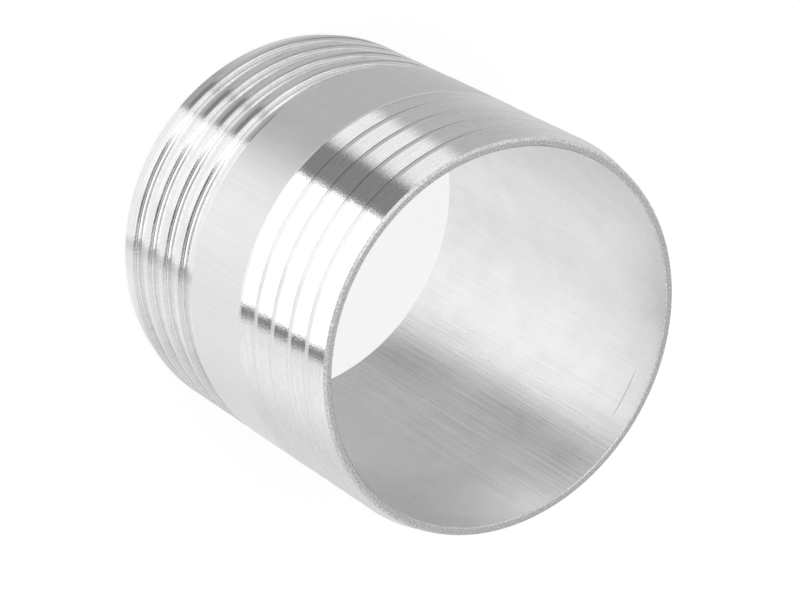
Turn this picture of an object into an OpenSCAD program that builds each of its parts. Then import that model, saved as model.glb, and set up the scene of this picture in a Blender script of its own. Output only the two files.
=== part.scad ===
// Straight hose connector: one piece of tube with a barbed tail turned on each end.
// The tube stands on its lower end face, centred on the Z axis.

/* [Tube] */
// Overall length, end face to end face
connector_len = 72.5; // [60:0.5:110]
// Outside diameter of the plain band in the middle
tube_d = 76; // [60:0.5:110]
// Wall thickness of the plain band
wall = 2.5; // [2:0.1:6]

/* [Barbs] */
// Number of grooves on each tail
barb_count = 4; // [1:1:5]
// Distance from one crest edge to the next
barb_pitch = 5.8; // [5.2:0.1:6.6]
// Width of the flat land on each crest
crest_land = 1.3; // [0.8:0.1:1.6]
// Depth of the grooves below the crests
barb_depth = 0.9; // [0.5:0.05:1.1]
// Angle between the axis and the steep back of each barb
back_angle = 80; // [50:1:85]
// Radius of the tool's nose, which rounds the root of each groove
root_radius = 0.5; // [0.3:0.1:1]
// Depth of the cut that turns the crests below the raw tube
crest_cut = 0.05; // [0.02:0.01:0.3]
// Width of the turned land between the last ramp and the plain band
last_land = 0.5; // [0.3:0.1:1.3]

/* [Ends] */
// Distance from the upper end face to its first crest edge
upper_lead_len = 5.5; // [3.5:0.1:6.5]
// Distance from the lower end face to its first crest edge
lower_lead_len = 4.8; // [3.5:0.1:6.5]
// Bevel round the outer edge of each end face
outer_bevel = 0.4; // [0.1:0.05:0.5]
// Bevel round the mouth of the bore
bore_bevel = 0.2; // [0.05:0.05:0.4]

/* [Hidden] */
$fn = 180;
arc_steps = 14;
overcut = 1;

bore_d = tube_d - 2 * wall;
crest_r = tube_d / 2 - crest_cut;
root_r = crest_r - barb_depth;

// A groove drops down a barb's back, rounds its root and climbs a ramp to the next crest land.
nose_angle = min(back_angle, acos(max(-1, 1 - barb_depth / root_radius)));
back_run = (barb_depth - root_radius * (1 - cos(nose_angle))) / tan(back_angle);
root_run = back_run + root_radius * sin(nose_angle);
groove_run = barb_pitch - crest_land;

// The ramp leaves the next land's corner and runs tangent into the rounded root.
centre_rise = root_radius - barb_depth;
centre_run = groove_run - root_run;
ramp_angle = asin(root_radius / norm([centre_run, centre_rise])) - atan2(centre_rise, centre_run);

// Points are [radius, height above the tail's end face].
function root_point(edge_z, a) = [
    root_r + root_radius * (1 - cos(a)),
    edge_z + root_run + root_radius * sin(a)
];

// A shallow groove is all nose, so its arc starts at the crest edge itself.
function groove(edge_z) = concat(
    nose_angle < back_angle ? [] : [[crest_r, edge_z]],
    [for (i = [0:arc_steps]) root_point(edge_z, -nose_angle + i * (nose_angle + ramp_angle) / arc_steps)],
    [[crest_r, edge_z + groove_run]]
);

function tip_r(lead_len) = crest_r - (lead_len - crest_land) * tan(ramp_angle);

function lead_in(lead_len) = [
    [tip_r(lead_len) - outer_bevel, 0],
    [tip_r(lead_len) + outer_bevel * tan(ramp_angle), outer_bevel],
    [crest_r, lead_len - crest_land]
];

function tail_len(lead_len) = lead_len + barb_count * barb_pitch - crest_land + last_land;

function tail(lead_len) = concat(
    lead_in(lead_len),
    [for (k = [0:barb_count - 1]) each groove(lead_len + k * barb_pitch)],
    [[crest_r, tail_len(lead_len)], [tube_d / 2, tail_len(lead_len)]]
);

// The upper tail is drawn upside down, so its points run in the other order.
function upside_down(points) = [
    for (i = [len(points) - 1:-1:0]) [points[i][0], connector_len - points[i][1]]
];

module turned_blank() {
    rotate_extrude()
        polygon(concat([[0, 0]], tail(lower_lead_len), upside_down(tail(upper_lead_len)), [[0, connector_len]]));
}

module bore_mouth() {
    translate([0, 0, -overcut])
        cylinder(h = overcut + bore_bevel, r1 = bore_d / 2 + bore_bevel + overcut, r2 = bore_d / 2);
}

module bore() {
    translate([0, 0, -overcut])
        cylinder(h = connector_len + 2 * overcut, d = bore_d);
    bore_mouth();
    translate([0, 0, connector_len])
        mirror([0, 0, 1])
            bore_mouth();
}

module hose_connector() {
    color("silver")
        difference() {
            turned_blank();
            bore();
        }
}

hose_connector();
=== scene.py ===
import math

import bpy
import numpy as np
from mathutils import Matrix, Vector


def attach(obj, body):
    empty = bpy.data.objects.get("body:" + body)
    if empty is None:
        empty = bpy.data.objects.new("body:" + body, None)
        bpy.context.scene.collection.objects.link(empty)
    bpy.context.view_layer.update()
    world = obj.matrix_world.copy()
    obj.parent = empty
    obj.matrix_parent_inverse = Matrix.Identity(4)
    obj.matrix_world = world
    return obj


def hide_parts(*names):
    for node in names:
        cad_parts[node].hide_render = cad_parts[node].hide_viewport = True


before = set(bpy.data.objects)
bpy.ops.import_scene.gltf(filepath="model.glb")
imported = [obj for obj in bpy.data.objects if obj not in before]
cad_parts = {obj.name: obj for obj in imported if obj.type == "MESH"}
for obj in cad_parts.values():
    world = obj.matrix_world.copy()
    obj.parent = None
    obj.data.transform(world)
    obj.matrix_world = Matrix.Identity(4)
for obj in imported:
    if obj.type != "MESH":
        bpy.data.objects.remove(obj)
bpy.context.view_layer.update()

MM = 0.001

# Sizes of the part in millimetres, the same ones as in its drawing.
CONNECTOR_LEN = 72.5
TUBE_R = 38.0
WALL = 2.5
BARB_COUNT = 4
BARB_PITCH = 5.8
CREST_LAND = 1.3
BARB_DEPTH = 0.9
BACK = math.radians(80)
ROOT_R = 0.5
CREST_CUT = 0.05
LAST_LAND = 0.5
UPPER_LEAD = 5.5
LOWER_LEAD = 4.8
OUTER_BEVEL = 0.4
BORE_BEVEL = 0.2
# Sharp edges are never quite sharp on the real thing.
EDGE_R = 0.06
CREST_EDGE_R = 0.12
LAND_EDGE_R = 0.5

BORE_R = TUBE_R - WALL
CREST_R = TUBE_R - CREST_CUT
BACK_RUN = (BARB_DEPTH - ROOT_R * (1 - math.cos(BACK))) / math.tan(BACK)
CENTRE_RUN = BARB_PITCH - CREST_LAND - BACK_RUN - ROOT_R * math.sin(BACK)
CENTRE_RISE = ROOT_R - BARB_DEPTH
RAMP = math.asin(ROOT_R / math.hypot(CENTRE_RUN, CENTRE_RISE)) - math.atan2(CENTRE_RISE, CENTRE_RUN)
# The back and the ramp, run on, would meet at a corner under the rounded root.
ROOT_MITRE = math.sin((BACK - RAMP) / 2) / math.cos((BACK + RAMP) / 2)
ROOT_CORNER = BACK_RUN + ROOT_R * math.sin(BACK) - ROOT_R * ROOT_MITRE

# Camera, from the photograph's perspective. The part stands on end, so the picture is rolled.
CAMERA_AZIMUTH = -90.4
CAMERA_ELEVATION = 52.02
CAMERA_ROLL = 119.92
CAMERA_DISTANCE = 634.7
CAMERA_LENS = 155.27
CAMERA_SENSOR = 36
CAMERA_NEAR = 0.05
AIM = (3.05, -0.02, 40.92)

TURNED, DRAWN, BORE, CUT = range(4)
WHITE = (1, 1, 1, 1)
AROUND = 336
# Degrees to a step of an arc, on a rounding smaller than the root's and on the others.
SMALL_ARC_STEP = 11
ARC_STEP = 6


def direction(azimuth, elevation=0.0):
    """The unit vector at an azimuth and an elevation, in degrees."""
    a, e = math.radians(azimuth), math.radians(elevation)
    return Vector((math.cos(a) * math.cos(e), math.sin(a) * math.cos(e), math.sin(e)))


# Outline

def tail_corners(lead):
    """Corners from the end face inwards: radius, height, rounding, and the finish that follows."""
    tip_r = CREST_R - (lead - CREST_LAND) * math.tan(RAMP)
    corners = [
        (tip_r - OUTER_BEVEL, 0, EDGE_R, CUT),
        (tip_r + OUTER_BEVEL * math.tan(RAMP), OUTER_BEVEL, EDGE_R, TURNED),
        (CREST_R, lead - CREST_LAND, LAND_EDGE_R, TURNED),
    ]
    for k in range(BARB_COUNT):
        edge = lead + k * BARB_PITCH
        corners += [
            (CREST_R, edge, CREST_EDGE_R, TURNED),
            (CREST_R - ROOT_CORNER * math.tan(BACK), edge + ROOT_CORNER, ROOT_R, TURNED),
            (CREST_R, edge + BARB_PITCH - CREST_LAND, LAND_EDGE_R, TURNED),
        ]
    end = lead + BARB_COUNT * BARB_PITCH - CREST_LAND + LAST_LAND
    corners += [(CREST_R, end - CREST_CUT, CREST_CUT, TURNED), (TUBE_R, end, CREST_CUT, DRAWN)]
    return corners


def part_corners():
    """The closed outline, up the outside from the lower end face and down the bore."""
    tail = tail_corners(UPPER_LEAD)
    upper = []
    for i in range(len(tail) - 1, -1, -1):
        r, h, rounding, _ = tail[i]
        upper.append((r, CONNECTOR_LEN - h, rounding, tail[i - 1][3] if i else CUT))
    return (
        [(BORE_R, BORE_BEVEL, EDGE_R, CUT), (BORE_R + BORE_BEVEL, 0, EDGE_R, CUT)]
        + tail_corners(LOWER_LEAD)
        + upper
        + [
            (BORE_R + BORE_BEVEL, CONNECTOR_LEN, EDGE_R, CUT),
            (BORE_R, CONNECTOR_LEN - BORE_BEVEL, EDGE_R, BORE),
        ]
    )


def rounded(corners):
    """Turns the corners into points, outward normals and finishes, with a true arc at each."""
    points, normals, finishes = [], [], []
    count = len(corners)
    for i, (r, z, rounding, finish) in enumerate(corners):
        here = np.array([r, z])
        before = here - np.array(corners[i - 1][:2])
        after = np.array(corners[(i + 1) % count][:2]) - here
        before = before / np.linalg.norm(before)
        after = after / np.linalg.norm(after)
        start = math.atan2(before[1], before[0])
        turn = math.atan2(before[0] * after[1] - before[1] * after[0], before @ after)
        reach = rounding * math.tan(abs(turn) / 2)
        steps = max(2, round(abs(turn) / math.radians(SMALL_ARC_STEP if rounding < ROOT_R else ARC_STEP)))
        side = math.copysign(1, turn)
        entry = here - before * reach
        centre = entry + side * rounding * np.array([-before[1], before[0]])
        for k in range(steps + 1):
            heading = start + turn * k / steps
            normal = np.array([math.sin(heading), -math.cos(heading)])
            points.append(centre + side * rounding * normal)
            normals.append(normal)
            finishes.append(finish if k * 2 >= steps else corners[i - 1][3])
    return np.array(points), np.array(normals), finishes


def revolved(name, materials):
    """The whole part as one closed surface of revolution."""
    points, normals, finishes = rounded(part_corners())
    rows = len(points)
    angle = np.arange(AROUND) * 2 * math.pi / AROUND
    ring = np.stack([np.cos(angle), np.sin(angle)], axis=1)
    place = np.empty((AROUND, rows, 3))
    facing = np.empty((AROUND, rows, 3))
    place[:, :, :2] = ring[:, None, :] * points[None, :, :1]
    place[:, :, 2] = points[:, 1]
    facing[:, :, :2] = ring[:, None, :] * normals[None, :, :1]
    facing[:, :, 2] = normals[:, 1]

    quads, finish = [], []
    for i in range(AROUND):
        here, there = i * rows, (i + 1) % AROUND * rows
        for j in range(rows):
            k = (j + 1) % rows
            quads.append((here + j, there + j, there + k, here + k))
            finish.append(finishes[j])
    mesh = bpy.data.meshes.new(name)
    mesh.from_pydata((place * MM).reshape(-1, 3).tolist(), [], quads)
    for material in materials:
        mesh.materials.append(material)
    mesh.polygons.foreach_set("material_index", finish)
    mesh.polygons.foreach_set("use_smooth", [True] * len(quads))
    mesh.update()
    mesh.normals_split_custom_set_from_vertices(facing.reshape(-1, 3).tolist())
    piece = bpy.data.objects.new(name, mesh)
    bpy.context.scene.collection.objects.link(piece)
    return piece


# Materials

class Graph:
    """Adds shader nodes in few words. A number or a socket can go to any input."""

    def __init__(self, tree):
        self.tree = tree
        tree.nodes.clear()

    def add(self, kind, inputs=None, **settings):
        node = self.tree.nodes.new("ShaderNode" + kind)
        for name, value in settings.items():
            setattr(node, name, value)
        for name, value in (inputs or {}).items():
            if isinstance(value, bpy.types.NodeSocket):
                self.tree.links.new(value, node.inputs[name])
            else:
                node.inputs[name].default_value = value
        return node

    def math(self, operation, first, second=0.0):
        return self.add("Math", {0: first, 1: second}, operation=operation).outputs[0]

    def plus(self, first, *others):
        for other in others:
            first = self.math("ADD", first, other)
        return first

    def times(self, first, *others):
        for other in others:
            first = self.math("MULTIPLY", first, other)
        return first

    def dot(self, first, second):
        return self.add("VectorMath", {0: first, 1: second}, operation="DOT_PRODUCT").outputs[1]

    def step(self, value, low, high, to_low=0.0, to_high=1.0):
        """A smooth change from to_low to to_high, as value goes from low to high."""
        inputs = {"Value": value, "From Min": low, "From Max": high, "To Min": to_low, "To Max": to_high}
        return self.add("MapRange", inputs, interpolation_type="SMOOTHSTEP").outputs[0]

    def within(self, value, low, high, softness):
        """One from low to high and nothing outside, with soft edges."""
        reach = softness / 2
        rise = self.step(value, low - reach, low + reach)
        return self.times(rise, self.step(value, high - reach, high + reach, 1.0, 0.0))

    def mix(self, share, first, second):
        return self.add("Mix", {0: share, 6: first, 7: second}, data_type="RGBA").outputs[2]

    def place(self):
        return self.add("TexCoord").outputs["Object"]

    def height_mm(self):
        return self.math("DIVIDE", self.add("SeparateXYZ", {0: self.place()}).outputs[2], MM)

    def stretched(self, per_mm_around, per_mm_along):
        """Object coordinates, scaled so that noise of scale 1 has so many grains per millimetre."""
        scale = [per_mm_around / MM, per_mm_around / MM, per_mm_along / MM]
        return self.add("Mapping", {"Vector": self.place(), "Scale": scale}).outputs[0]

    def noise(self, vector, detail=3.0, roughness=0.55, seed=0.0):
        inputs = {"Vector": vector, "W": seed, "Scale": 1.0, "Detail": detail, "Roughness": roughness}
        return self.add("TexNoise", inputs, noise_dimensions="4D").outputs[0]

    def bump(self, height, depth_mm, normal=None):
        inputs = {"Height": height, "Strength": 1.0, "Distance": depth_mm * MM}
        if normal is not None:
            inputs["Normal"] = normal
        return self.add("Bump", inputs).outputs[0]


def grey(level):
    """Aluminium's colour at a lightness: a trace cooler than neutral."""
    return (level * 0.995, level, level * 1.005, 1)


def metal(graph, colour, roughness, anisotropy, turn, normal):
    """Aluminium with its micro grooves round the tube or along it."""
    tangent = graph.add("Tangent", direction_type="RADIAL", axis="Z").outputs[0]
    shader = graph.add("BsdfPrincipled", {
        "Base Color": colour, "Metallic": 1.0, "Roughness": roughness, "Anisotropic": anisotropy,
        "Anisotropic Rotation": turn, "Tangent": tangent, "Normal": normal,
    })
    output = graph.add("OutputMaterial")
    graph.tree.links.new(shader.outputs[0], output.inputs[0])


def material(name):
    made = bpy.data.materials.new(name)
    made.use_nodes = True
    return made, Graph(made.node_tree)


# How strongly a brushed surface is brushed, and which way, as a share of a turn.
BRUSHED = 0.93
ROUND_TURN = 0.25
ALONG_TURN = 0.0

# Azimuths in degrees round which shade is painted on the crest edges and in the corners behind them, where the
# photograph shows them darkest, and at which it shows the most drawing lines and the scratch.
EDGE_SHADE_AZIMUTH = -120.0
CORNER_SHADE_AZIMUTH = -78.0
CREST_SHADE_AZIMUTH = -136.0
DRAWN_LINES = 67.0
SCRATCH = 94.0
SCRATCH_HEIGHT = 67.9


def behind_crest(g):
    """Two values: the millimetres from the last crest edge to a point of a tail, and one on the upper half."""
    height = g.height_mm()
    upper = g.math("GREATER_THAN", height, CONNECTOR_LEN / 2)
    above = g.math("SUBTRACT", height, LOWER_LEAD)
    below = g.math("SUBTRACT", CONNECTOR_LEN - UPPER_LEAD, height)
    past = g.plus(g.times(upper, below), g.times(g.math("SUBTRACT", 1.0, upper), above))
    return g.math("FLOORED_MODULO", past, BARB_PITCH), upper


def side(g, azimuth, full, none, radius=CREST_R):
    """One round the given azimuth, fading out between two angles from it, in degrees."""
    reach = g.dot(g.place(), direction(azimuth) / (radius * MM))
    return g.step(reach, math.cos(math.radians(none)), math.cos(math.radians(full)))


def turned_metal():
    made, g = material("turned_aluminium")
    rings = g.noise(g.stretched(0.03, 2.6), detail=4, roughness=0.6)
    hatch = g.noise(g.stretched(0.5, 2.4), detail=3, roughness=0.65, seed=3)
    grain = g.noise(g.stretched(2.2, 3.0), detail=2, roughness=0.6, seed=11)
    patches = g.noise(g.stretched(0.06, 0.12), detail=2, seed=7)
    shade = g.plus(g.times(g.plus(rings, hatch), 0.35), g.times(grain, 0.3))
    colour = g.mix(g.step(shade, 0.38, 0.62), grey(0.80), grey(0.94))

    # Painted shade on both sides of a crest edge, in the corner behind it and on the edge itself.
    past, upper = behind_crest(g)
    # Painted shade: dark lines on both sides of each crest edge, fainter on the lower tail's land, strongest
    # round one azimuth.
    land = g.times(g.step(past, BARB_PITCH - 0.36, BARB_PITCH - 0.26), g.step(upper, 0, 1, 0.3, 1))
    edge = g.plus(g.step(past, 0.01, 0.04, 1, 0), land)
    edge = g.times(edge, g.plus(0.2, g.times(side(g, EDGE_SHADE_AZIMUTH, 14, 24), 0.8)))
    # Painted shade: a dark band in the root corner behind each crest edge, strongest round one azimuth.
    corner = g.times(g.step(past, 0.08, 0.12), g.step(past, 0.2, 0.28, 1, 0))
    corner = g.times(corner, g.plus(0.25, g.times(side(g, CORNER_SHADE_AZIMUTH, 13, 22), 0.75)))
    # Painted shade: a narrow dark band on the crest edge itself, round one azimuth, standing in for a dark
    # reflection.
    crest_shade = g.plus(g.step(past, 0.03, 0.06, 1, 0), g.step(past, BARB_PITCH - 0.14, BARB_PITCH - 0.06))
    crest_shade = g.times(crest_shade, side(g, CREST_SHADE_AZIMUTH, 28, 36), 0.6)
    # All three masks are painted shade. Patches break them up, and they darken the colour towards grey 0.22.
    painted_shade = g.math("MAXIMUM", g.math("MAXIMUM", edge, corner), crest_shade)
    painted_shade = g.times(painted_shade, g.step(patches, 0.35, 0.6, 0.75, 1.0))
    colour = g.mix(painted_shade, colour, grey(0.22))
    roughness = g.step(patches, 0.3, 0.7, 0.095, 0.125)
    normal = g.bump(rings, 0.003)
    normal = g.bump(hatch, 0.008, normal)
    normal = g.bump(grain, 0.011, normal)
    metal(g, colour, roughness, BRUSHED, ROUND_TURN, normal)
    return made


def drawn_metal():
    made, g = material("drawn_aluminium")
    lines = g.noise(g.stretched(2.2, 0.02), detail=4, roughness=0.6)
    patches = g.noise(g.stretched(0.08, 0.05), detail=3, seed=5)
    colour = g.mix(g.step(lines, 0.3, 0.7), grey(0.84), grey(0.9))
    roughness = g.step(patches, 0.3, 0.7, 0.28, 0.33)
    normal = g.bump(lines, 0.003)
    metal(g, colour, roughness, BRUSHED, ALONG_TURN, normal)
    return made


def bore_metal():
    made, g = material("bore_aluminium")
    lines = g.noise(g.stretched(3.4, 0.04), detail=4, roughness=0.65, seed=2)
    patches = g.noise(g.stretched(0.08, 0.05), detail=3, seed=9)
    clouds = g.noise(g.stretched(0.16, 0.14), detail=4, roughness=0.6, seed=17)
    specks = g.noise(g.stretched(1.7, 1.3), detail=4, roughness=0.7, seed=14)
    drawn = side(g, DRAWN_LINES, 0, 27, BORE_R)
    streak = g.times(g.math("SUBTRACT", lines, 0.5), g.plus(0.25, drawn))
    shade = g.plus(streak, 0.36, g.times(clouds, 0.28))
    colour = g.mix(g.step(shade, 0.3, 0.7), grey(0.76), grey(0.93))
    stain = g.times(g.step(specks, 0.58, 0.66), g.step(clouds, 0.52, 0.60))
    colour = g.mix(g.times(stain, g.plus(0.2, g.times(drawn, 0.4))), colour, grey(0.35))
    off = g.math("ABSOLUTE", g.math("SUBTRACT", g.height_mm(), SCRATCH_HEIGHT))
    scratch = g.times(g.step(off, 0.05, 0.2, 1, 0), side(g, SCRATCH, 4, 9, BORE_R))
    colour = g.mix(g.times(scratch, 0.6), colour, grey(0.3))
    roughness = g.step(patches, 0.3, 0.7, 0.22, 0.28)
    normal = g.bump(streak, 0.006)
    metal(g, colour, roughness, BRUSHED, ALONG_TURN, normal)
    return made


def cut_metal():
    made, g = material("cut_aluminium")
    grains = g.noise(g.stretched(2.8, 2.8), detail=3, roughness=0.65, seed=4)
    colour = g.mix(g.step(grains, 0.38, 0.62), grey(0.56), grey(0.86))
    normal = g.bump(grains, 0.04)
    metal(g, colour, 0.40, 0.0, ALONG_TURN, normal)
    return made


# Studio

def facing_camera():
    return direction(CAMERA_AZIMUTH, CAMERA_ELEVATION)


# The cards stand still round the part and were set after the photograph. Each lies where a surface
# that faces so many degrees aside of the photograph's camera (turn) and up (tilt) mirrors it to that camera.
# Brightness, turn from and to, softness of those edges, tilt from and to, softness of those edges. A later
# card covers an earlier one, and CEILING is what no card covers.
CEILING = 0.50
CARDS = {
    "ceiling_side": (0.70, 66, 120, 30, -90, 90, 10),
    "table": (0.74, -110, -31, 2.5, -90, 90, 10),
    "table_middle": (0.92, -52, -31, 22, -90, 90, 10),
    "table_edge": (0.22, -31.5, -24, 3.5, 8.5, 24, 5),
    "window": (1.06, -27.6, 12, 2.4, -90, 90, 10),
    "window_left": (0.92, -27.6, -14, 7, -90, 3, 8),
    "window_far": (0.95, -27.6, 12, 2.4, -90, -7, 5),
    "window_core": (1.40, -27.6, 12, 2.4, 6, 80, 5),
    "window_gap": (0.24, 12.5, 23.5, 3, -7, 19, 4),
    "gap_far": (0.42, 12.5, 28, 2, -90, -6, 5),
    "gap_top": (1.15, 12.5, 21, 3, 22, 80, 5),
    "behind_side": (0.66, 34, 110, 14, -90, -6, 6),
    "overhead": (0.94, 25, 40, 6, 4, 20, 6),
    "behind_low": (0.85, 22, 60, 6, 19, 31, 5),
    "behind_mid": (0.82, 22, 120, 6, 33, 56.5, 3),
    "behind_top": (1.90, 22, 60, 6, 56, 61.5, 3),
    "behind_right": (0.95, 35, 60, 6, 50, 59.5, 3),
    "camera_side": (0.00, -28, 2, 7, 45.5, 53, 1.5),
    "camera_left": (0.00, -33, -14, 5, 47, 54.8, 1.5),
    "pole": (0.50, -200, 200, 5, 80, 90, 6),
    "under_edge": (0.06, 14, 52, 5, -70, -23, 4),
}


def surround():
    """The cards, which light the metal and are seen in it, and plain white behind everything."""
    world = bpy.data.worlds.new("studio")
    bpy.context.scene.world = world
    world.use_nodes = True
    g = Graph(world.node_tree)
    way = g.add("TexCoord").outputs["Generated"]
    halfway = g.add("VectorMath", {0: way, 1: facing_camera()}, operation="ADD").outputs[0]
    halfway = g.add("VectorMath", {0: halfway}, operation="NORMALIZE").outputs[0]
    towards = g.dot(halfway, direction(CAMERA_AZIMUTH))
    aside = g.dot(halfway, direction(CAMERA_AZIMUTH - 90))
    turn = g.math("DEGREES", g.math("ARCTAN2", aside, towards))
    tilt = g.math("DEGREES", g.math("ARCSINE", g.add("SeparateXYZ", {0: halfway}).outputs[2]))
    level = CEILING
    for bright, turn0, turn1, turn_soft, tilt0, tilt1, tilt_soft in CARDS.values():
        share = g.times(g.within(turn, turn0, turn1, turn_soft), g.within(tilt, tilt0, tilt1, tilt_soft))
        level = g.plus(g.times(level, g.math("SUBTRACT", 1.0, share)), g.times(share, bright))
    studio = g.add("Background", {"Strength": level, "Color": WHITE})
    plain = g.add("Background", {"Strength": 1.0, "Color": WHITE})
    seen = g.add("LightPath").outputs["Is Camera Ray"]
    both = g.add("MixShader", {0: seen, 1: studio.outputs[0], 2: plain.outputs[0]})
    g.tree.links.new(both.outputs[0], g.add("OutputWorld").inputs[0])


FLOOR_SIZE = 4.0
FLOOR_GLOW = 0.73
FLOOR_COLOUR = 0.35


def floor():
    """White where light reaches it, and soft grey in the part's shadow. The metal mirrors the studio."""
    mesh = bpy.data.meshes.new("floor")
    half = FLOOR_SIZE / 2
    corners = [(-half, -half, 0), (half, -half, 0), (half, half, 0), (-half, half, 0)]
    mesh.from_pydata(corners, [], [(0, 1, 2, 3)])
    made, g = material("white_floor")
    seen = g.add("LightPath").outputs["Is Camera Ray"]
    matt = g.add("BsdfDiffuse", {"Color": (FLOOR_COLOUR, FLOOR_COLOUR, FLOOR_COLOUR, 1)})
    glow = g.add("Emission", {"Color": WHITE, "Strength": g.times(seen, FLOOR_GLOW)})
    both = g.add("AddShader", {0: matt.outputs[0], 1: glow.outputs[0]})
    g.tree.links.new(both.outputs[0], g.add("OutputMaterial").inputs[0])
    mesh.materials.append(made)
    plane = bpy.data.objects.new("floor", mesh)
    bpy.context.scene.collection.objects.link(plane)
    plane.visible_glossy = False
    plane.visible_shadow = False


def camera():
    aim = Vector(AIM) * MM
    back = facing_camera()
    made = bpy.data.cameras.new("camera")
    made.lens = CAMERA_LENS
    made.sensor_width = CAMERA_SENSOR
    made.clip_start = CAMERA_NEAR
    shot = bpy.data.objects.new("camera", made)
    bpy.context.scene.collection.objects.link(shot)
    look = back.to_track_quat("Z", "Y").to_matrix().to_4x4()
    roll = Matrix.Rotation(math.radians(CAMERA_ROLL), 4, "Z")
    shot.matrix_world = Matrix.Translation(aim + back * CAMERA_DISTANCE * MM) @ look @ roll
    bpy.context.scene.camera = shot


camera()
surround()
floor()
part = revolved("hose_connector_turned", [turned_metal(), drawn_metal(), bore_metal(), cut_metal()])
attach(part, "root")
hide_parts("hose_connector")

bpy.context.scene.view_settings.view_transform = "Standard"
